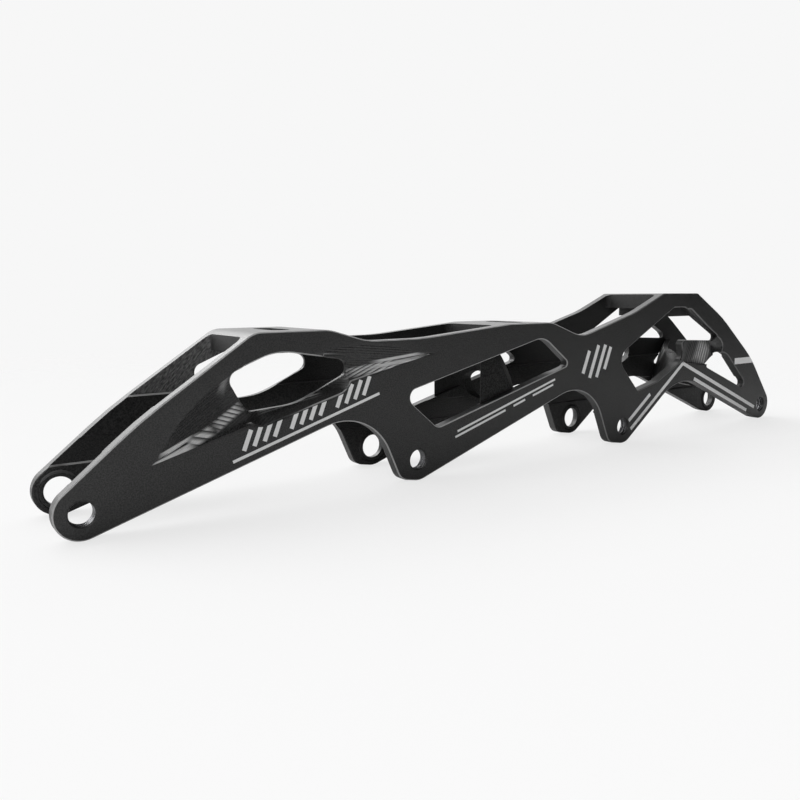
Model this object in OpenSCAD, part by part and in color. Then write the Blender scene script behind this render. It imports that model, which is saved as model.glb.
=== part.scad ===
// Inline speed-skate frame for four wheels, milled from one aluminium extrusion.
// X runs from toe (-) to heel (+), Y across the frame, Z up from the lowest point of the lugs.
// X = 0 is the middle of the wheelbase and Y = 0 the centre plane.

/* [Wheels and axles] */
// Distance from the first axle to the last
wheelbase = 325.12; // [318:0.01:332]
// Radius of the largest wheel
wheel_r = 52.5; // [50:0.5:53.5]
// Free space round a wheel at the cross ribs
wheel_clear = 3.5; // [2:0.5:4]
// Radius of the rounded tread section that the ribs are cut to
tread_r = 13.5; // [13.2:0.1:15]
// Gap between the bearing faces of a lug pair
hub_gap = 24.2; // [24:0.1:25]

/* [Lugs] */
// Radius of a lug round its axle, and the height of the axle line
lug_r = 7.26; // [6.5:0.01:8]
// Radius of the raised bearing face round an axle hole
boss_r = 5.8; // [5.6:0.1:6.2]
// Radius of the plain axle hole in the far wall
axle_hole_r = 4.25; // [4.1:0.05:4.4]
// Radius of the recess for the axle head on the far wall's outer face
head_recess_r = 5.6; // [5:0.1:6]
// Depth of that recess
head_recess_depth = 1.8; // [1:0.1:2.4]

/* [Thread inserts] */
// Radius of the insert's barrel
insert_r = 4.9; // [4.6:0.1:5.1]
// Inner radius of the M8 thread
thread_minor_r = 3.32; // [3.2:0.02:3.4]
// Radial play of the barrel in its seat
insert_play = 0.03; // [0.02:0.01:0.08]
// Thickness of wall left as a lip outside the insert
insert_lip = 1; // [0.8:0.1:1.4]
// How much wider than the thread the hole in the lip is
lip_play = 0.06; // [0.04:0.02:0.2]

/* [Extrusion] */
// Width over both walls
frame_w = 33; // [32:0.1:34]
// Thickness of a wall beside the hubs
wall = 3.4; // [3.1:0.1:3.7]
// Thickness of a wall at the lugs
pad_wall = 4; // [3.8:0.1:4.2]
// Thickness of a wall beside the treads
tread_wall = 4; // [3.6:0.1:4.2]
// Thickness of a wall at the crown, milled out on the inside
crown_wall = 3.4; // [3.1:0.1:3.5]
// Height where the lug band ends
pad_z = 15; // [14.8:0.1:17]
// Height where the tread band starts
tread_z = 22.5; // [20:0.5:25]
// Height where the crown starts
crown_z = 33; // [31:0.5:35]

/* [Mounting plates] */
// Distance from the front mounting slot to the rear one
mount_pitch = 195; // [193:0.5:197]
// Distance of the front slot from the middle of the wheelbase
front_mount_x = 100; // [98:0.5:102]
// Width of a mounting slot
slot_w = 6.5; // [6:0.1:8.5]
// Length of a mounting slot across the frame
slot_l = 18; // [14:0.5:20]
// Height of the front plate
front_z = 52.6; // [51:0.1:54]
// Height of the middle plate
middle_z = 52.4; // [51:0.1:54]
// Height of the rear plate
rear_z = 63.2; // [61:0.1:65]
// Thickness of the plates
plate_t = 6.6; // [5:0.1:7]
// Radius of the corners where a plate meets a wall
plan_fillet = 2.5; // [1.5:0.5:6]
// Thickness of the boss round the rear slot, with its plate
boss_t = 10.2; // [9:0.1:11]

/* [Ribs] */
// Thickness of the ribs between the wheels
rib_t = 2.2; // [1.8:0.1:3]
// Lowest point of the ribs
rib_z = 20; // [19:0.5:22]
// Radius of the trough in the rear rib's top
trough_r = 14; // [13.5:0.1:16]
// Height of the middle of the rear rib's top
trough_z = 34.5; // [33:0.5:36]
// Height of the two ports in the middle rib
port_h = 12; // [8:0.5:12.5]
// Width of a port
port_w = 8.6; // [6:0.2:9]

/* [Milled pockets] */
// Depth of the scoops at the front window
scoop_depth = 2.4; // [1.8:0.1:2.6]
// Slope of the wide flanks above those scoops
flank_slope = 0.15; // [0.1:0.01:0.17]
// Depth of the scoop on the rear strut
strut_scoop_depth = 2.2; // [1.5:0.1:2.6]
// Depth of the bevel along the rear window
bevel_depth = 2.2; // [1.5:0.1:2.6]

/* [Hidden] */
$fn = 64;

axles = 4;
pitch = wheelbase / (axles - 1);
function axle_x(i) = -wheelbase / 2 + (i - 1) * pitch;
function bay_x(i) = axle_x(i) + pitch / 2;
axle_z = lug_r;
half_w = frame_w / 2;
length = wheelbase + 2 * lug_r;
well_r = wheel_r + wheel_clear;
front_x = -front_mount_x;
rear_x = front_x + mount_pitch;
bite = 0.6;
over = 1;
arc_step = 6;

// How far in from the outer face the heel windows cut the rear rib
heel_reach = 9;

// Where each plate starts and ends along the frame
front_plate = [front_x - 15.2, front_x + 11];
middle_plate = [bay_x(2) - 17, bay_x(2) + 13];
rear_plate = [rear_x - 17, rear_x + 9];

// For each wheel bay, the angle of the lower edge that leaves its first lug, and the arch's radius
rail_angle = [17.4, 19.1, 36.5];
arch_r = [19, 19, 27];

// Points of one rounded corner b between a and c, and of a whole outline of [x, z, radius] corners
function unit(v) = v / norm(v);
function bearing(v) = atan2(v.y, v.x);
function corner_arc(a, b, c, r) =
    r == 0 ? [b] :
    let (u = unit(a - b), v = unit(c - b), half = acos(u * v) / 2,
         centre = b + unit(u + v) * r / sin(half),
         start = bearing(b + u * r / tan(half) - centre),
         turn = (bearing(b + v * r / tan(half) - centre) - start + 540) % 360 - 180,
         steps = ceil(abs(turn) / arc_step))
    [for (k = [0 : steps]) centre + r * [cos(start + turn * k / steps), sin(start + turn * k / steps)]];
function flat(p) = [p[0], p[1]];
function rounded(path) =
    let (n = len(path))
    [for (i = [0 : n - 1])
        each corner_arc(flat(path[(i + n - 1) % n]), flat(path[i]), flat(path[(i + 1) % n]), path[i][2])];

// A point on lug i, and the points round it from one angle to the other
function lug_point(i, a) = [axle_x(i) + lug_r * cos(a), axle_z + lug_r * sin(a), 0];
function lug_arc(i, from, to) =
    let (steps = ceil(abs(to - from) / arc_step))
    [for (k = [0 : steps]) lug_point(i, from + (to - from) * k / steps)];

// The corner above bay i where its lower edge, rising from lug i, turns down again at x
function arch(i, x) =
    let (a = rail_angle[i - 1])
    [x, axle_z + tan(a) * (x - axle_x(i)) - lug_r / cos(a), arch_r[i - 1]];

// A corner that bows the line from a to b outwards, a share of the way along it
function bow(a, b, share, rise, r) =
    let (run = flat(b) - flat(a), up = rise * unit([-run.y, run.x]), p = flat(a) + share * run + up)
    [p.x, p.y, r];

// Side outline of the frame, clockwise from under the front lug
toe = lug_point(1, -235);
heel = lug_point(axles, 35);
front_corner = [front_plate[0] + 2.2, front_z, 8];
rear_corner = [rear_plate[1], rear_z, 3];
side_path = concat(
    lug_arc(1, rail_angle[0] - 90, -235),
    [bow(toe, front_corner, 0.38, 1.65, 140),
     front_corner,
     [front_plate[1] + 1, front_z, 14],
     [front_x + 26, front_z - 4, 25],
     [bay_x(2) - 52, middle_z - 3.7, 60],
     [middle_plate[0] + 5, middle_z, 10],
     [middle_plate[1] - 3, middle_z, 12],
     [bay_x(2) + 27, middle_z - 6.1, 16],
     [rear_plate[0] - 18, rear_z - 7.8, 50],
     [rear_plate[0] + 1, rear_z, 3],
     rear_corner,
     bow(rear_corner, heel, 0.284, 4.2, 70),
     bow(rear_corner, heel, 0.69, 5.2, 60)],
    lug_arc(4, 35, -95),
    [[axle_x(4) - 5.7, 1, 15],
     arch(3, axle_x(3) + 39.1)],
    lug_arc(3, rail_angle[2] - 90, -102),
    [[axle_x(3) - 8.9, 1.3, 5],
     arch(2, axle_x(3) - 21.4)],
    lug_arc(2, rail_angle[1] - 90, -102),
    [[axle_x(2) - 7.4, 1.2, 5],
     arch(1, axle_x(2) - 19.1)]);

// Windows of a wall, each placed from the middle of its wheel bay
front_window = [
    [bay_x(1) - 6.6, 29.2, 3], [bay_x(1) - 13.9, 40.3, 3], [bay_x(1) + 2, 47, 20],
    [bay_x(1) + 33.9, 41.6, 2.9], [bay_x(1) + 9.4, 30.3, 25]];
middle_window = [
    [bay_x(2) - 45.8, 17.4, 3.5], [bay_x(2) - 60.8, 30.3, 3],
    [bay_x(2) + 5.5, 46.9, 9], [bay_x(2) + 20.5, 35.6, 1.5]];
rear_window = [
    [bay_x(3) - 44.9, 21.8, 1.5], [bay_x(3) - 59.5, 36.8, 5], [bay_x(3) - 21.5, 57, 3],
    [bay_x(3) - 13.6, 57, 6], [bay_x(3) + 18.5, 40.8, 1.6], [bay_x(3) - 15.4, 42.4, 2],
    [bay_x(3) - 12.9, 33.6, 4], [bay_x(3) - 31.4, 24.9, 8]];
heel_window = [
    [bay_x(3) + 4.6, 29.3, 1], [bay_x(3) + 16.4, 39.4, 12], [bay_x(3) + 45.5, 13.5, 2]];

// Half of the space between the walls, as [y, z] points from the bottom up
step = 0.5;
channel_half = [
    [half_w - pad_wall, -over], [half_w - pad_wall, pad_z - step],
    [half_w - wall, pad_z], [half_w - wall, tread_z - step],
    [half_w - tread_wall, tread_z], [half_w - tread_wall, crown_z],
    [half_w - crown_wall, crown_z + step], [half_w - crown_wall, rear_z + over]];
channel_path = concat(
    channel_half,
    [for (i = [len(channel_half) - 1 : -1 : 0]) [-channel_half[i].x, channel_half[i].y]]);
channel_w = 2 * (half_w - wall);

// An outline in the side view, made solid across the frame between two planes
module across(path, y_from, y_to) {
    translate([0, y_to, 0]) rotate([90, 0, 0]) linear_extrude(y_to - y_from) polygon(path);
}

// Runs its children on the near wall and, mirrored, on the far wall
module both_walls() {
    children();
    mirror([0, 1, 0]) children();
}

// The room that wheel i sweeps, grown by a margin: a disc with a rounded tread
module wheel_well(i, grow) {
    core_r = well_r - tread_r;
    axle_bar(i, core_r, -tread_r - grow, tread_r + grow);
    translate([axle_x(i), 0, axle_z])
        rotate([90, 0, 0])
            rotate_extrude($fn = 96) translate([core_r, 0]) circle(tread_r + grow);
}

// A shell round wheel i, kept between the walls and inside a box from x_from to x_to and up to z_to
module rib(i, x_from, x_to, z_to) {
    rib_w = channel_w + 2 * bite;
    difference() {
        intersection() {
            wheel_well(i, rib_t);
            translate([x_from, -rib_w / 2, rib_z]) cube([x_to - x_from, rib_w, z_to - rib_z]);
        }
        wheel_well(i, 0);
    }
}

// Rib behind the second wheel, under the middle plate, with two ports
module middle_rib() {
    half_web = 3.5;
    sill = 1;
    port_r = min(port_h, port_w) / 2 - 0.1;
    difference() {
        rib(2, middle_plate[0] - 7, middle_plate[1] + 1, middle_z - plate_t + bite);
        for (side = [-1, 1])
            translate([bay_x(2) - pitch / 2, side * (half_web + port_w / 2), rib_z + sill + port_h / 2])
                rotate([90, 0, 90])
                    linear_extrude(pitch)
                        polygon(rounded([for (c = [[-1, -1], [-1, 1], [1, 1], [1, -1]])
                            [c.x * port_w / 2, c.y * port_h / 2, port_r]]));
    }
}

// Rib in front of the last wheel, troughed along its top
module rear_rib() {
    shoulder = 7.5;
    difference() {
        rib(4, bay_x(3) - 10, bay_x(3) + 16, crown_z + shoulder);
        translate([bay_x(3) - pitch / 2, 0, trough_z + trough_r])
            rotate([0, 90, 0])
                cylinder(r = trough_r, h = pitch);
    }
}

// The three plates that join the walls, cut to the wheel openings between them
module plates() {
    openings = [
        [-length, front_plate[0]],
        [front_plate[1], middle_plate[0]],
        [middle_plate[1], rear_plate[0]],
        [rear_plate[1], length]];
    opening_w = frame_w - 2 * crown_wall;
    blank = 60;
    boss_l = 8;
    difference() {
        union() {
            for (p = [[front_x, front_z], [bay_x(2), middle_z], [rear_x, rear_z]])
                translate([p.x - blank / 2, -opening_w / 2 - bite, p.y - plate_t])
                    cube([blank, opening_w + 2 * bite, plate_t]);
            translate([rear_x - boss_l, -opening_w / 2 - bite, rear_z - boss_t])
                cube([blank, opening_w + 2 * bite, boss_t]);
        }
        for (o = openings)
            translate([0, 0, crown_z])
                linear_extrude(rear_z)
                    polygon(rounded([for (c = [[0, -1], [0, 1], [1, 1], [1, -1]])
                        [o[c.x], c.y * opening_w / 2, plan_fillet]]));
    }
}

// Scoops milled into the outer face where the front window runs out into the wall, each with a wide
// flank above it, and the groove under the window that joins them
module front_scoops(face_y) {
    left_tip = [bay_x(1) - 37, 17];
    left_angle = 28;
    tail(left_tip, left_angle, 38, 8.5, face_y);
    flank(
        [bay_x(1) + 12.9, -7.3], 54.6,
        [left_tip, along(left_tip, left_angle, 33), [bay_x(1) - 8, 45], [left_tip.x, 45]],
        face_y);
    right_tip = [bay_x(1) + 61, 43.5];
    right_angle = 185;
    tail(right_tip, right_angle, 42, 5.8, face_y);
    flank(
        [bay_x(1) + 32.2, -23.4], 71.2,
        [right_tip, along(right_tip, right_angle, 38), [bay_x(1) + 10, 40], [bay_x(1) + 10, 50],
         [right_tip.x, 50]],
        face_y);
    groove([bay_x(1) - 3, 31], [bay_x(1) + 22, 38], 9, scoop_depth, face_y);
}

// The point at a distance from another, at an angle in the side view
function along(from, angle, distance) = from + distance * [cos(angle), sin(angle)];

// One cone-shaped scoop from its tip, along an angle, that is w to each side after a length
module tail(tip, angle, reach, w, face_y) {
    r = (w * w + scoop_depth * scoop_depth) / (2 * scoop_depth);
    translate([tip.x, face_y, tip.y])
        rotate([0, -angle, 0])
            rotate([0, 90, -atan((r - scoop_depth) / reach)])
                cylinder(r1 = 0, r2 = r, h = reach);
}

// A shallow dish of radius r in the outer face, cut only inside a wedge
module flank(centre, r, wedge, face_y) {
    intersection() {
        translate([centre.x, face_y - over, centre.y])
            rotate([-90, 0, 0])
                cylinder(
                    r1 = r + over / flank_slope,
                    r2 = r - scoop_depth / flank_slope,
                    h = over + scoop_depth,
                    $fn = 180);
        across(wedge, face_y - over, face_y + scoop_depth);
    }
}

// A straight pass of a ball cutter of radius r along the outer face
module groove(from, to, r, depth, face_y) {
    run = to - from;
    translate([from.x, face_y - r + depth, from.y])
        rotate([0, 90 - bearing(run), 0]) {
            cylinder(r = r, h = norm(run));
            sphere(r);
            translate([0, 0, norm(run)]) sphere(r);
        }
}

// Bevel down the rear edge of the rear window
module rear_bevel(face_y) {
    groove([bay_x(3) - 9.9, 51.8], [bay_x(3) + 13.6, 37.6], 6, bevel_depth, face_y);
}

// Round hollow milled across the strut between the two rear windows, down to a shoulder
module strut_scoop(face_y) {
    w = 13;
    lean = 25;
    r = (w * w + strut_scoop_depth * strut_scoop_depth) / (2 * strut_scoop_depth);
    shoulder = [
        [bay_x(3) - 18, 35], [bay_x(3) - 11, 32], [bay_x(3) + 8, 30], [bay_x(3) + 13, 33],
        [bay_x(3) + 13, 42.2], [bay_x(3) - 18, 42.8]];
    intersection() {
        translate([bay_x(3) - 1, face_y - r + strut_scoop_depth, 36])
            rotate([0, lean, 0])
                cylinder(r = r, h = 60, center = true);
        across(shoulder, face_y - over, face_y + strut_scoop_depth);
    }
}

// Slots for the boot's mounting bolts, across the plates
module mounting_slots() {
    for (m = [[front_x, front_z, plate_t], [bay_x(2), middle_z, plate_t], [rear_x, rear_z, boss_t]])
        translate([m[0], 0, m[1] - m[2] - over])
            linear_extrude(m[2] + 2 * over) {
                square([slot_w, slot_l - slot_w], center = true);
                for (side = [-1, 1]) translate([0, side * (slot_l - slot_w) / 2]) circle(d = slot_w);
            }
}

// A round bar along Y at axle i between two planes
module axle_bar(i, r, y_from, y_to) {
    translate([axle_x(i), y_to, axle_z]) rotate([90, 0, 0]) cylinder(r = r, h = y_to - y_from);
}

// Walls, plates and ribs as one milled piece
module frame_body() color([0.13, 0.13, 0.14]) {
    difference() {
        union() {
            difference() {
                across(rounded(side_path), -half_w, half_w);
                translate([-length, 0, 0])
                    rotate([90, 0, 90])
                        linear_extrude(2 * length) polygon(channel_path);
                both_walls() {
                    for (w = [front_window, middle_window, rear_window, heel_window])
                        across(rounded(w), -half_w - over, -half_w + pad_wall + over);
                    front_scoops(-half_w);
                    rear_bevel(-half_w);
                    strut_scoop(-half_w);
                }
            }
            intersection() {
                across(rounded(side_path), -half_w, half_w);
                union() {
                    plates();
                    middle_rib();
                    rear_rib();
                }
            }
            for (i = [1 : axles]) axle_bar(i, boss_r, hub_gap / 2, half_w - pad_wall + bite);
        }
        mounting_slots();
        both_walls() across(rounded(heel_window), -half_w - over, -half_w + heel_reach);
        for (i = [1 : axles]) {
            axle_bar(i, axle_hole_r, 0, half_w + over);
            axle_bar(i, head_recess_r, half_w - head_recess_depth, half_w + over);
            axle_bar(i, insert_r + insert_play, -half_w + insert_lip, 0);
            axle_bar(i, thread_minor_r + lip_play, -half_w - over, 0);
        }
    }
}

// Steel insert with the axle's thread, flanged on the inside of the near wall
module thread_insert(i) color([0.62, 0.62, 0.64]) {
    difference() {
        union() {
            axle_bar(i, insert_r, -half_w + insert_lip, -hub_gap / 2);
            axle_bar(i, boss_r, -half_w + pad_wall, -hub_gap / 2);
        }
        axle_bar(i, thread_minor_r, -half_w, 0);
    }
}

frame_body();
thread_insert(1);  // thread_insert_1
thread_insert(2);  // thread_insert_2
thread_insert(3);  // thread_insert_3
thread_insert(4);  // thread_insert_4
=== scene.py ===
import math
import bpy
from mathutils import Matrix, Vector


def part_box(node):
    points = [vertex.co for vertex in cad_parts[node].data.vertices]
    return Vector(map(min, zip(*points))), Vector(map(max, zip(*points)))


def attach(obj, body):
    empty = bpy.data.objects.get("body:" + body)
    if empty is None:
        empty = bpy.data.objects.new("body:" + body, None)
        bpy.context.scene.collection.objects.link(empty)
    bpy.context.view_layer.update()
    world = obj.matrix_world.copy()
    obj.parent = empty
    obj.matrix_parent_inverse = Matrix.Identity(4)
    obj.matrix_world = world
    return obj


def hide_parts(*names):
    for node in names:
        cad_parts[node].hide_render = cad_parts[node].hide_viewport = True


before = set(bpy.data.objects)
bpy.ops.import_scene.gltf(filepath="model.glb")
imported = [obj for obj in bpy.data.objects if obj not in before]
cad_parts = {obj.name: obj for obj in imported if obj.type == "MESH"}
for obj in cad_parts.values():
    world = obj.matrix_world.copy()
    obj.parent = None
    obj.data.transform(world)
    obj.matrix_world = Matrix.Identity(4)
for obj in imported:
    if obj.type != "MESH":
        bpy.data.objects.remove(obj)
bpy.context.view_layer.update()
scene = bpy.context.scene
scene.view_settings.view_transform = "Standard"

# Camera at the photograph's viewpoint, close to the toe and a little above the mounting plates.
# It was found from the four axle holes, whose spacing is known.
camera_place = Vector((-0.20158, -0.21501, 0.06289))
camera_azimuth = math.radians(-35.14)
camera_elevation = math.radians(8.06)
camera_roll = math.radians(-0.31)
forward = Vector((-math.sin(camera_azimuth) * math.cos(camera_elevation),
                  math.cos(camera_azimuth) * math.cos(camera_elevation),
                  -math.sin(camera_elevation)))
level = forward.cross(Vector((0, 0, 1))).normalized()
upright = level.cross(forward)
rolled_right = math.cos(camera_roll) * level + math.sin(camera_roll) * upright
rolled_up = -math.sin(camera_roll) * level + math.cos(camera_roll) * upright
camera_data = bpy.data.cameras.new("camera")
camera_data.sensor_width = 36
camera_data.lens = 33.196
camera_data.clip_start = 0.005
camera = bpy.data.objects.new("camera", camera_data)
camera.matrix_world = Matrix.Translation(camera_place) @ Matrix(
    (rolled_right, rolled_up, -forward)).transposed().to_4x4()
scene.collection.objects.link(camera)
scene.camera = camera

# Studio: a pale surround, bright behind the frame, dim on the heel side, and a pale paper floor
# that fades into it. One large soft lamp overhead and one at the toe side.
pale = 0.93
paper_shade = 0.82
even_light_share = 0.78
glow_strength = 7.0
floor_half = 3.0
floor_middle, fade_start, fade_end = (-0.15, 0, 0), 0.36, 0.7
lamp_target = Vector((0, 0, 0.03))


def fresh_tree(owner):
    owner.use_nodes = True
    owner.node_tree.nodes.clear()
    return owner.node_tree


def add(tree, kind, **settings):
    node = tree.nodes.new(kind)
    for name, value in settings.items():
        setattr(node, name, value)
    return node


def feed(tree, value, socket):
    if isinstance(value, bpy.types.NodeSocket):
        tree.links.new(value, socket)
    else:
        socket.default_value = value


def maths(tree, operation, *values):
    node = add(tree, "ShaderNodeMath", operation=operation)
    for value, socket in zip(values, node.inputs):
        feed(tree, value, socket)
    return node.outputs[0]


def times(tree, *values):
    product = values[0]
    for value in values[1:]:
        product = maths(tree, "MULTIPLY", product, value)
    return product


def ease(tree, value, low, high, start=0.0, end=1.0):
    node = add(tree, "ShaderNodeMapRange", interpolation_type="SMOOTHSTEP")
    for name, setting in (("Value", value), ("From Min", low), ("From Max", high),
                          ("To Min", start), ("To Max", end)):
        feed(tree, setting, node.inputs[name])
    return node.outputs["Result"]


def split_axes(tree, vector):
    node = add(tree, "ShaderNodeSeparateXYZ")
    tree.links.new(vector, node.inputs[0])
    return node.outputs


def mix_shaders(tree, share, first, second):
    node = add(tree, "ShaderNodeMixShader")
    feed(tree, share, node.inputs[0])
    tree.links.new(first, node.inputs[1])
    tree.links.new(second, node.inputs[2])
    return node.outputs[0]


world = bpy.data.worlds.new("surround")
scene.world = world
tree = fresh_tree(world)
ray = add(tree, "ShaderNodeLightPath")
seen = maths(tree, "MAXIMUM", ray.outputs["Is Camera Ray"], ray.outputs["Is Transmission Ray"])
backdrop = add(tree, "ShaderNodeBackground")
backdrop.inputs["Color"].default_value = (pale, pale, pale, 1)
towards = split_axes(tree, add(tree, "ShaderNodeTexCoord").outputs["Generated"])
glow_band = times(tree, ease(tree, towards["Z"], 0.42, 0.52), ease(tree, towards["Z"], 0.74, 0.64),
                  ease(tree, towards["X"], 0.3, 0.05))
upper = maths(tree, "MULTIPLY_ADD", glow_band, glow_strength, ease(tree, towards["Z"], 0.0, 0.3, 0.5, 2.0))
behind = times(tree, ease(tree, towards["Y"], -0.05, 0.45), upper)
before = times(tree, ease(tree, towards["Y"], -0.1, -0.6),
               ease(tree, towards["Z"], 0.12, -0.05, 0.03, 0.4))
toe_side = ease(tree, towards["X"], 0.5, 0.85, 1.0, 0.0)
room_light = maths(tree, "MULTIPLY_ADD", before, toe_side, maths(tree, "ADD", behind, 0.02))
room = add(tree, "ShaderNodeBackground")
tree.links.new(room_light, room.inputs["Strength"])
out = add(tree, "ShaderNodeOutputWorld")
tree.links.new(mix_shaders(tree, seen, room.outputs[0], backdrop.outputs[0]), out.inputs["Surface"])

floor_mesh = bpy.data.meshes.new("floor")
floor_mesh.from_pydata([(-floor_half, -floor_half, 0), (floor_half, -floor_half, 0),
                        (floor_half, floor_half, 0), (-floor_half, floor_half, 0)], [], [(0, 1, 2, 3)])
floor = bpy.data.objects.new("floor", floor_mesh)
scene.collection.objects.link(floor)
paper = bpy.data.materials.new("pale_paper")
tree = fresh_tree(paper)
matt = add(tree, "ShaderNodeBsdfDiffuse")
matt.inputs["Color"].default_value = (paper_shade, paper_shade, paper_shade, 1)
glow = add(tree, "ShaderNodeEmission")
glow.inputs["Color"].default_value = (pale, pale, pale, 1)
ray = add(tree, "ShaderNodeLightPath")
lit = times(tree, ray.outputs["Is Camera Ray"], even_light_share)
sheet = mix_shaders(tree, lit, matt.outputs[0], glow.outputs[0])
reach = add(tree, "ShaderNodeVectorMath", operation="DISTANCE")
tree.links.new(add(tree, "ShaderNodeTexCoord").outputs["Object"], reach.inputs[0])
reach.inputs[1].default_value = floor_middle
far_off = ease(tree, reach.outputs["Value"], fade_start, fade_end)
clear = add(tree, "ShaderNodeBsdfTransparent")
out = add(tree, "ShaderNodeOutputMaterial")
tree.links.new(mix_shaders(tree, far_off, sheet, clear.outputs[0]), out.inputs["Surface"])
floor_mesh.materials.append(paper)

for name, place, size, power in (
        ("overhead_lamp", (-0.15, 0.1, 1.1), (1.6, 1.2), 2.5),
        ("toe_lamp", (-0.75, -0.85, 0.65), (0.7, 0.7), 5)):
    lamp_data = bpy.data.lights.new(name, "AREA")
    lamp_data.shape = "RECTANGLE"
    lamp_data.size, lamp_data.size_y = size
    lamp_data.energy = power
    lamp = bpy.data.objects.new(name, lamp_data)
    lamp.location = place
    lamp.rotation_euler = (lamp_target - Vector(place)).to_track_quat("-Z", "Y").to_euler()
    scene.collection.objects.link(lamp)

# Frame body: one aluminium extrusion, milled to its outline, windows and scoops, then bead-blasted
# and anodised satin black. Its outer edges are broken by a narrow chamfer, the cutter's passes
# still show in the scoops, and plain light-grey stripes are printed on the near wall.
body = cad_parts["frame_body"]

# Edge work on the solid's mesh: places are (X, Z) in metres, seen from the side
weld_gap = 6e-5
sliver_place, sliver_reach, sliver_gap = (-0.11635, 0.04297), 0.0003, 0.0004
scoop_blend, scoop_blend_reach = (-0.0742, 0.0425), 0.005
sharp_angle = math.radians(25)
chamfer_w = 0.0004
outer_side_y = 0.0143
lug_top_z = 0.014


def geometry_group(name):
    group = bpy.data.node_groups.new(name, "GeometryNodeTree")
    for way in ("INPUT", "OUTPUT"):
        group.interface.new_socket("Geometry", in_out=way, socket_type="NodeSocketGeometry")
    return group, add(group, "NodeGroupInput").outputs[0], add(group, "NodeGroupOutput").inputs[0]


def pass_through(group, mesh, *nodes):
    for node in nodes:
        group.links.new(mesh, node.inputs["Geometry"])
        mesh = node.outputs[0]
    return mesh


def side_distance(group, point):
    side_view = add(group, "ShaderNodeVectorMath", operation="MULTIPLY")
    group.links.new(add(group, "GeometryNodeInputPosition").outputs[0], side_view.inputs[0])
    side_view.inputs[1].default_value = (1, 0, 1)
    gap = add(group, "ShaderNodeVectorMath", operation="DISTANCE")
    group.links.new(side_view.outputs[0], gap.inputs[0])
    gap.inputs[1].default_value = (point[0], 0, point[1])
    return gap.outputs["Value"]


def sharp_edges(group):
    angle = add(group, "GeometryNodeInputMeshEdgeAngle").outputs["Unsigned Angle"]
    off_blend = maths(group, "GREATER_THAN", side_distance(group, scoop_blend), scoop_blend_reach)
    return maths(group, "MULTIPLY", maths(group, "GREATER_THAN", angle, sharp_angle), off_blend)


shade, mesh_in, mesh_out = geometry_group("smooth_round_faces")
weld = add(shade, "GeometryNodeMergeByDistance")
weld.inputs["Distance"].default_value = weld_gap
close_sliver = add(shade, "GeometryNodeMergeByDistance")
close_sliver.inputs["Distance"].default_value = sliver_gap
at_sliver = maths(shade, "LESS_THAN", side_distance(shade, sliver_place), sliver_reach)
shade.links.new(at_sliver, close_sliver.inputs["Selection"])
smooth = add(shade, "GeometryNodeSetShadeSmooth")
crease = add(shade, "GeometryNodeSetShadeSmooth", domain="EDGE")
crease.inputs["Shade Smooth"].default_value = False
shade.links.new(sharp_edges(shade), crease.inputs["Selection"])
shade.links.new(pass_through(shade, mesh_in, weld, close_sliver, smooth, crease), mesh_out)
body.modifiers.new("round_faces", "NODES").node_group = shade

mark, mesh_in, mesh_out = geometry_group("mark_outer_edges")
at = split_axes(mark, add(mark, "GeometryNodeInputPosition").outputs[0])
outer_side = maths(mark, "GREATER_THAN", maths(mark, "ABSOLUTE", at["Y"]), outer_side_y)
lug_side = maths(mark, "LESS_THAN", at["Z"], lug_top_z)
broken = maths(mark, "MULTIPLY", sharp_edges(mark), maths(mark, "MAXIMUM", outer_side, lug_side))
weight = add(mark, "GeometryNodeStoreNamedAttribute", data_type="FLOAT", domain="EDGE")
weight.inputs["Name"].default_value = "bevel_weight_edge"
mark.links.new(broken, weight.inputs["Value"])
mark.links.new(pass_through(mark, mesh_in, weight), mesh_out)
body.modifiers.new("outer_edges", "NODES").node_group = mark

edges = body.modifiers.new("chamfers", "BEVEL")
edges.width = chamfer_w
edges.segments = 2
edges.limit_method = "WEIGHT"
edges.use_clamp_overlap = False
edges.loop_slide = False
edges.miter_outer = "MITER_SHARP"
edges.harden_normals = False

trim, mesh_in, mesh_out = geometry_group("keep_in_the_box")
low_limit = add(trim, "ShaderNodeVectorMath", operation="MAXIMUM")
high_limit = add(trim, "ShaderNodeVectorMath", operation="MINIMUM")
low_limit.inputs[1].default_value, high_limit.inputs[1].default_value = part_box("frame_body")
settle = add(trim, "GeometryNodeSetPosition")
trim.links.new(add(trim, "GeometryNodeInputPosition").outputs[0], low_limit.inputs[0])
trim.links.new(low_limit.outputs[0], high_limit.inputs[0])
trim.links.new(high_limit.outputs[0], settle.inputs["Position"])
trim.links.new(pass_through(trim, mesh_in, settle), mesh_out)
body.modifiers.new("box_limit", "NODES").node_group = trim

split = body.modifiers.new("triangles", "TRIANGULATE")
split.min_vertices = 4
even = body.modifiers.new("even_faces", "WEIGHTED_NORMAL")
even.keep_sharp = True


# The finish is built from masks over places in mm, seen from the side as (X, Z)
def place_in_mm(tree):
    node = add(tree, "ShaderNodeVectorMath", operation="SCALE")
    node.inputs["Scale"].default_value = 1000
    tree.links.new(add(tree, "ShaderNodeTexCoord").outputs["Object"], node.inputs[0])
    return node.outputs[0]


def strongest(tree, *values):
    top = values[0]
    for value in values[1:]:
        top = maths(tree, "MAXIMUM", top, value)
    return top


def layered(tree, base, layers):
    for mask, strength in layers:
        base = maths(tree, "MULTIPLY_ADD", mask, strength, base)
    return base


def noise(tree, place, scale, detail):
    node = add(tree, "ShaderNodeTexNoise")
    tree.links.new(place, node.inputs["Vector"])
    node.inputs["Scale"].default_value = scale
    node.inputs["Detail"].default_value = detail
    return node.outputs["Fac"]


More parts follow.
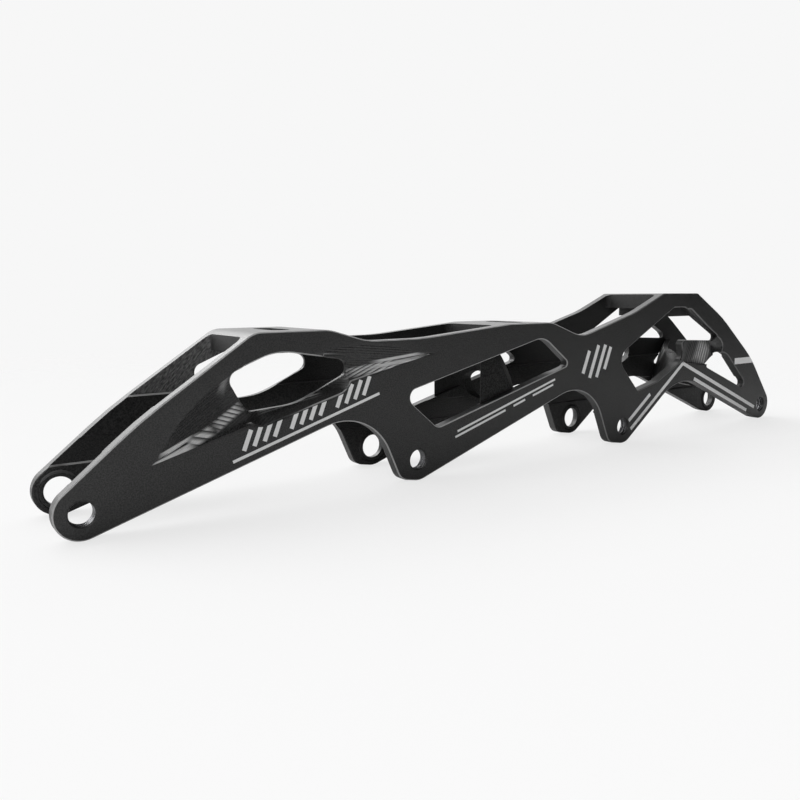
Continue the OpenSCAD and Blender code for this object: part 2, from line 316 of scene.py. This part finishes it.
def turned(tree, place, middle, degrees, half_size):
    node = add(tree, "ShaderNodeMapping", vector_type="TEXTURE")
    tree.links.new(place, node.inputs["Vector"])
    node.inputs["Location"].default_value = (middle[0], 0, middle[1])
    node.inputs["Rotation"].default_value = (0, -math.radians(degrees), 0)
    node.inputs["Scale"].default_value = (half_size[0], 1000, half_size[1])
    return node.outputs[0]


def bar(tree, place, start, end, half_width, soft=0.0):
    run = (end[0] - start[0], end[1] - start[1])
    middle = ((start[0] + end[0]) / 2, (start[1] + end[1]) / 2)
    along = turned(tree, place, middle, math.degrees(math.atan2(run[1], run[0])),
                   (math.hypot(*run) / 2, half_width))
    size = add(tree, "ShaderNodeVectorMath", operation="ABSOLUTE")
    tree.links.new(along, size.inputs[0])
    parts = split_axes(tree, size.outputs[0])
    edge = maths(tree, "MAXIMUM", parts["X"], parts["Z"])
    return maths(tree, "LESS_THAN", edge, 1.0) if soft == 0 else ease(tree, edge, 1.0, 1.0 - soft)


def wave(tree, place, degrees, spacing):
    across = split_axes(tree, turned(tree, place, (0, 0), degrees, (1, spacing / math.tau)))["Z"]
    return maths(tree, "MULTIPLY_ADD", maths(tree, "SINE", across), 0.5, 0.5)


def teeth(tree, place, degrees, spacing):
    across = split_axes(tree, turned(tree, place, (0, 0), degrees, (1, spacing)))["Z"]
    rise = maths(tree, "FRACT", across)
    return times(tree, ease(tree, rise, 0.03, 0.2), ease(tree, rise, 1.1, 0.4))


wall_face = 16.5
printed_skin = 16.45
axle_pitch = 325.12 / 3
axle_height = 7.26
anodised = bpy.data.materials.new("satin_black_anodised")
tree = fresh_tree(anodised)
spot = place_in_mm(tree)
at = split_axes(tree, spot)
facing = split_axes(tree, add(tree, "ShaderNodeNewGeometry").outputs["Normal"])
outward = times(tree, facing["Y"], maths(tree, "SIGN", at["Y"]))
depth = maths(tree, "SUBTRACT", wall_face, maths(tree, "ABSOLUTE", at["Y"]))

# Distance from the nearest axle, seen from the side
off_axle = add(tree, "ShaderNodeCombineXYZ")
from_first = maths(tree, "ADD", at["X"], 1.5 * axle_pitch)
tree.links.new(maths(tree, "WRAP", from_first, axle_pitch / 2, -axle_pitch / 2), off_axle.inputs["X"])
tree.links.new(maths(tree, "SUBTRACT", at["Z"], axle_height), off_axle.inputs["Z"])
axle_length = add(tree, "ShaderNodeVectorMath", operation="LENGTH")
tree.links.new(off_axle.outputs[0], axle_length.inputs[0])
from_axle = axle_length.outputs["Value"]

# Printed stripes on the near wall, as (start, end, half width)
stripes = [((-121, 15.4), (-70, 31.4), 0.45), ((-38, 13.2), (-14, 20.6), 0.4),
           ((-37, 15.2), (12, 30.3), 0.4), ((-10, 21.8), (-4, 23.7), 0.4), ((0, 24.9), (11, 28.3), 0.4),
           ((28, 31.5), (31.5, 40.5), 0.9), ((32, 29.5), (37, 42.5), 0.9),
           ((36.2, 29.5), (41.2, 42.5), 0.9), ((41, 32.5), (44.5, 41.5), 0.9),
           ((59.5, 5.5), (95, 31.8), 0.8), ((58, 9.2), (72, 19.6), 0.8),
           ((95, 31.8), (157, 6.2), 0.8), ((104, 24.2), (150, 5.2), 0.8),
           ((137, 30.4), (156, 30.4), 1.5)]
tally_count, tally_step, tally_lean, tally_rise, tally_slope = 4, 3.3, 2.4, 6.0, 0.3137
for group_x in (-117.5, -102, -86):
    for number in range(tally_count):
        foot_x = group_x + tally_step * number
        foot_z = tally_slope * (foot_x + 121) + 17.2
        stripes.append(((foot_x, foot_z), (foot_x + tally_lean, foot_z + tally_rise), 0.7))
inked = strongest(tree, *[bar(tree, spot, *stripe) for stripe in stripes])
ink = times(tree, inked, maths(tree, "LESS_THAN", at["Y"], -printed_skin),
            maths(tree, "GREATER_THAN", outward, 0.9))

# Where the cutter worked, in the scoops: strands of tool marks with a painted highlight, flanks given
# painted shade, and fine passes
scooped = times(tree, ease(tree, outward, 0.3, 0.5), ease(tree, depth, 0.04, 0.12))
low_rope = times(tree, bar(tree, spot, (-134.5, 21.6), (-125.5, 25.9), 1.9, 0.6),
                 teeth(tree, spot, -12, 2.05))
high_rope = times(tree, bar(tree, spot, (-126.5, 25.4), (-116.5, 32), 1.9, 0.6),
                  teeth(tree, spot, -18, 1.3))
low_strand = bar(tree, spot, (-145.6, 16.4), (-131, 22.4), 1.1, 0.5)
high_strand = bar(tree, spot, (-143, 19.4), (-131, 24.6), 0.7, 0.6)
right_rope = times(tree, bar(tree, spot, (-84, 38.1), (-60, 41.3), 1.9, 0.6),
                   teeth(tree, spot, 22, 0.95))
right_low_strand = bar(tree, spot, (-76, 39.4), (-49.5, 42.8), 0.8, 0.6)
right_high_strand = bar(tree, spot, (-74, 41.4), (-50, 44), 0.65, 0.6)
window_glint = times(tree, bar(tree, spot, (-124.2, 34.5), (-121.4, 43), 1.5, 0.95), 0.3)
lip_glint = times(tree, bar(tree, spot, (-113, 29.3), (-90, 33.8), 1.5, 0.6),
                  wave(tree, spot, 11, 0.8), 0.6)
strut_wave = wave(tree, spot, 70, 1.5)
strut_glint = times(tree, bar(tree, spot, (108.5, 29), (115.5, 43), 6.5, 0.8),
                    maths(tree, "MULTIPLY_ADD", strut_wave, 0.6, 0.25))
# These strands and glints are painted highlights: the mask brightens the colour below, and also raises the
# bump
painted_glint_strands = strongest(tree, low_rope, high_rope, low_strand, high_strand, right_rope, right_low_strand,
                    right_high_strand, window_glint, strut_glint, lip_glint)
painted_glint_strands = times(tree, painted_glint_strands, scooped)

# Painted shade: the flanks, the window's lip and the rib ends get a lower specular level below, which
# darkens them
left_low_flank = bar(tree, spot, (-137, 17.6), (-108, 28), 2.8, 0.5)
left_high_flank = times(tree, bar(tree, spot, (-145, 20), (-122, 37), 7, 0.4), 0.5)
window_lip = bar(tree, spot, (-113, 28.5), (-84, 36.6), 2.8, 0.5)
middle_rib_end = bar(tree, spot, (-32, 33), (14, 38), 10, 0.1)
rear_rib_end = times(tree, bar(tree, spot, (90, 40), (103, 34), 8, 0.4), 0.7)
shaded = strongest(tree, left_low_flank, window_lip, middle_rib_end, rear_rib_end, left_high_flank)
shaded = times(tree, shaded, scooped)

left_passes = times(tree, wave(tree, spot, 33, 0.75), bar(tree, spot, (-140, 24), (-108, 36), 12, 0.2))
right_passes = times(tree, wave(tree, spot, -5, 0.8), bar(tree, spot, (-92, 42), (-48, 42), 8, 0.2))
strut_passes = times(tree, strut_wave, bar(tree, spot, (98, 36), (120, 36), 12, 0.2))
passes = times(tree, strongest(tree, left_passes, right_passes, strut_passes), scooped)

# Inner faces: drawn lines from the extrusion, a mottled patch at the toe's crown that also carries a
# painted highlight, and upward steps with a painted highlight
inner = ease(tree, outward, -0.4, -0.6)
drawn = times(tree, noise(tree, turned(tree, spot, (0, 0), 0, (40, 0.35)), 1.0, 2), inner)
crown = times(tree, inner, ease(tree, at["Z"], 33.2, 33.8))
# The crown's mottle is real; its added brightness in the colour below is a painted highlight
mottle_and_highlight = times(tree, crown, ease(tree, at["X"], -96, -104))
speckle = noise(tree, turned(tree, spot, (0, 0), 50, (1.6, 0.4)), 1.0, 4)
# Painted highlight on the steps that face up, added to the colour below
step_face = times(tree, ease(tree, outward, -0.3, -0.45), ease(tree, facing["Z"], 0.3, 0.5))
step_depth = times(tree, ease(tree, depth, 4.6, 4.4), ease(tree, depth, 3.2, 3.4))
step_painted_highlight = times(tree, step_face, step_depth, ease(tree, from_axle, 7.2, 8.2, 0.25, 1.0),
                 ease(tree, at["X"], -96, -112, 0.1, 1.0))

# Edges: a painted highlight on the chamfers, brighter towards the toe; the arm's top strip, whose raised
# specular level is a painted highlight; the middle window's sill
chamfer = times(tree, ease(tree, outward, 0.95, 0.88), ease(tree, depth, 0.42, 0.32),
                ease(tree, outward, 0.1, 0.3))
lip_line = bar(tree, spot, (-117, 24), (-79, 36.4), 1.6, 0.2)
chamfer_painted_highlight = times(tree, chamfer, ease(tree, from_axle, 4.4, 5.0), ease(tree, at["X"], 0, 70, 1.0, 0.3),
               maths(tree, "MULTIPLY_ADD", lip_line, -0.9, 1.0))
# The arm's top strip: its specular level is raised below, a painted highlight
arm_top = times(tree, ease(tree, maths(tree, "ABSOLUTE", outward), 0.3, 0.15),
                ease(tree, facing["Z"], 0.15, 0.35), ease(tree, at["X"], -112, -118))
sill = times(tree, bar(tree, spot, (-50, 22), (13, 35), 3.2, 0.2), ease(tree, facing["Z"], 0.3, 0.6))
upward = ease(tree, facing["Z"], 0.5, 0.8)

# Each property is a base and a list of masks with their strengths; relief is in mm
grain = noise(tree, spot, 2.6, 4)
clouds = noise(tree, spot, 0.06, 3)
ink_tone = 0.75
# The colour carries painted highlights: the crown's mottled patch, the steps, the scoops' strands and
# glints, and the chamfers
tone = layered(tree, times(tree, clouds, 0.006), (
    (ease(tree, grain, 0.3, 0.7), 0.026),
    (times(tree, mottle_and_highlight, ease(tree, speckle, 0.3, 0.8)), 0.16),
    (step_painted_highlight, 0.3), (painted_glint_strands, 0.5), (chamfer_painted_highlight, 0.32)))
tone = maths(tree, "MAXIMUM", tone, times(tree, ink, ink_tone))
colour = add(tree, "ShaderNodeCombineColor")
for channel in colour.inputs:
    tree.links.new(tone, channel)
rough = layered(tree, 0.40, ((clouds, 0.12), (scooped, -0.14), (upward, -0.14), (ink, 0.2),
                             (arm_top, -0.08), (sill, 0.2)))
# Specular level: painted shade on the flanks and rib ends and on the inner faces between the walls, and a
# painted highlight on the arm's top strip
gloss = layered(tree, 0.5, ((shaded, -0.42), (maths(tree, "SUBTRACT", inner, mottle_and_highlight), -0.22),
                            (arm_top, 1.0), (sill, -0.4)))
relief = layered(tree, times(tree, grain, 0.03), (
    (passes, 0.08), (painted_glint_strands, 0.15), (drawn, 0.03), (times(tree, speckle, mottle_and_highlight), 0.03)))
bump = add(tree, "ShaderNodeBump")
bump.inputs["Distance"].default_value = 0.001
tree.links.new(relief, bump.inputs["Height"])
metal = add(tree, "ShaderNodeBsdfPrincipled")
tree.links.new(colour.outputs[0], metal.inputs["Base Color"])
tree.links.new(rough, metal.inputs["Roughness"])
tree.links.new(gloss, metal.inputs["Specular IOR Level"])
tree.links.new(bump.outputs[0], metal.inputs["Normal"])
out = add(tree, "ShaderNodeOutputMaterial")
tree.links.new(metal.outputs[0], out.inputs["Surface"])
body.material_slots[0].material = anodised

# Thread inserts: four turned steel bushes with a cut M8 thread, pressed from the inside into the
# lugs of the near wall, where their flanges are the bearing faces for the wheels.
thread_pitch = 1.25
crest_r = 3.32
root_r = 4.0
barrel_r = 4.9
shoulder = 3.0
barrel_break, flange_break, lead_in = 0.2, 0.15, 0.15
half_root, flank_width = 0.0625, 0.3125
around = 72
rows = 56
steel = bpy.data.materials.new("turned_steel")
tree = fresh_tree(steel)
spot = place_in_mm(tree)
cloud = noise(tree, spot, 0.8, 4)
turning = noise(tree, spot, 14.0, 2)
metal = add(tree, "ShaderNodeBsdfPrincipled")
metal.inputs["Metallic"].default_value = 1.0
shades = add(tree, "ShaderNodeValToRGB")
shades.color_ramp.elements[0].color = (0.13, 0.13, 0.135, 1)
shades.color_ramp.elements[1].color = (0.3, 0.3, 0.31, 1)
tree.links.new(cloud, shades.inputs["Fac"])
tree.links.new(shades.outputs["Color"], metal.inputs["Base Color"])
tree.links.new(maths(tree, "MULTIPLY_ADD", turning, 0.15, 0.2), metal.inputs["Roughness"])
bump = add(tree, "ShaderNodeBump")
bump.inputs["Distance"].default_value = 0.00001
tree.links.new(turning, bump.inputs["Height"])
tree.links.new(bump.outputs[0], metal.inputs["Normal"])
out = add(tree, "ShaderNodeOutputMaterial")
tree.links.new(metal.outputs[0], out.inputs["Surface"])


def thread_r(y, turn, length):
    phase = (y / thread_pitch - turn) % 1.0
    flank = min(max((abs(phase - 0.5) - half_root) / flank_width, 0.0), 1.0)
    mouth = root_r + lead_in - min(y, length - y)
    return max(root_r + (crest_r - root_r) * flank, mouth, crest_r)


for number in (1, 2, 3, 4):
    node_name = f"thread_insert_{number}"
    low, high = (Vector(corner) * 1000 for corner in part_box(node_name))
    axle = (low + high) / 2
    flange_r = (high.x - low.x) / 2
    length = high.y - low.y
    turns = [place / around for place in range(around)]
    outer = [(0.0, barrel_r - barrel_break), (barrel_break, barrel_r), (shoulder, barrel_r),
             (shoulder, flange_r), (length - flange_break, flange_r), (length, flange_r - flange_break)]
    points = [(y, thread_r(y, turn, length), turn)
              for y in (length * (1 - row / rows) for row in range(rows + 1)) for turn in turns]
    points += [(y, r, turn) for y, r in outer for turn in turns]
    verts = [(axle.x + r * math.cos(math.tau * turn), low.y + y, axle.z + r * math.sin(math.tau * turn))
             for y, r, turn in points]
    rings = rows + 1 + len(outer)
    faces = []
    for ring in range(rings):
        this, following = ring * around, (ring + 1) % rings * around
        for place in range(around):
            beside = (place + 1) % around
            faces.append((this + place, following + place, following + beside, this + beside))
    mesh = bpy.data.meshes.new(f"m8_thread_{number}")
    mesh.from_pydata([Vector(v) / 1000 for v in verts], [], faces)
    mesh.materials.append(steel)
    bush = bpy.data.objects.new(f"m8_thread_{number}", mesh)
    scene.collection.objects.link(bush)
    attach(bush, "root")
    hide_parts(node_name)
